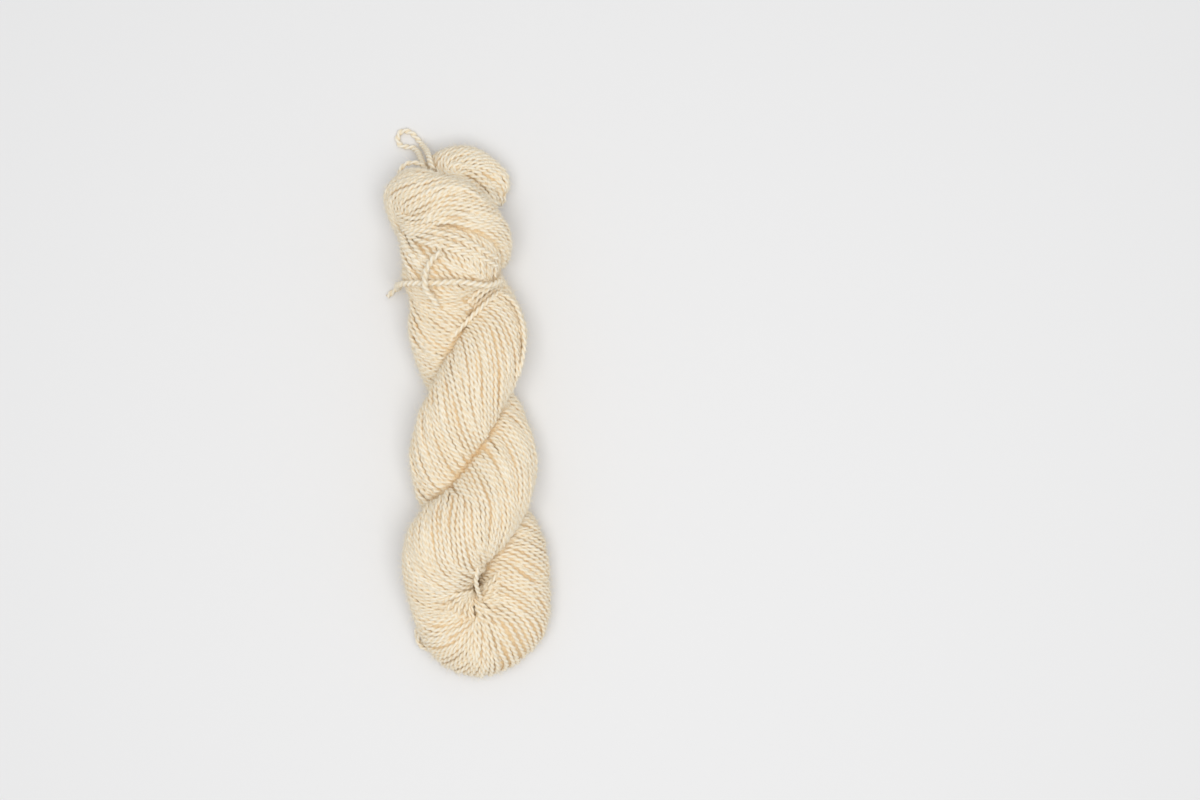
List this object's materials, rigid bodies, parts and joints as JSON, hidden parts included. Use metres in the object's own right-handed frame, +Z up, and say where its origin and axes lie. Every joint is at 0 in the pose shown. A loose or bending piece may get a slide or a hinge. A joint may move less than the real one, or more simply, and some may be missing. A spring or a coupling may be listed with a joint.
{
  "type": "twisted yarn hank",
  "caption": "Twisted hank of thick two-ply wool yarn lying flat, folded round at the foot, its end loops wrapped and tucked at the head, with short yarn ties.",
  "frame": {"origin": "on the surface the hank lies on, under the middle of the hank without its loose ties", "axes": "+Y along the hank from its folded foot to its knotted head, +Z up from the surface, +X to the hank's right"},
  "size_m": [0.0924, 0.3034, 0.0572],
  "materials": {
    "wool": "cream two-ply wool, matt and slightly fuzzy",
    "tie_wool": "cream two-ply wool, matt and slightly fuzzy"
  },
  "bodies": {
    "root": {"hank": "wool", "top_tie": "tie_wool", "neck_tie": "tie_wool", "neck_tie_end": "tie_wool"}
  },
  "joints": []
}
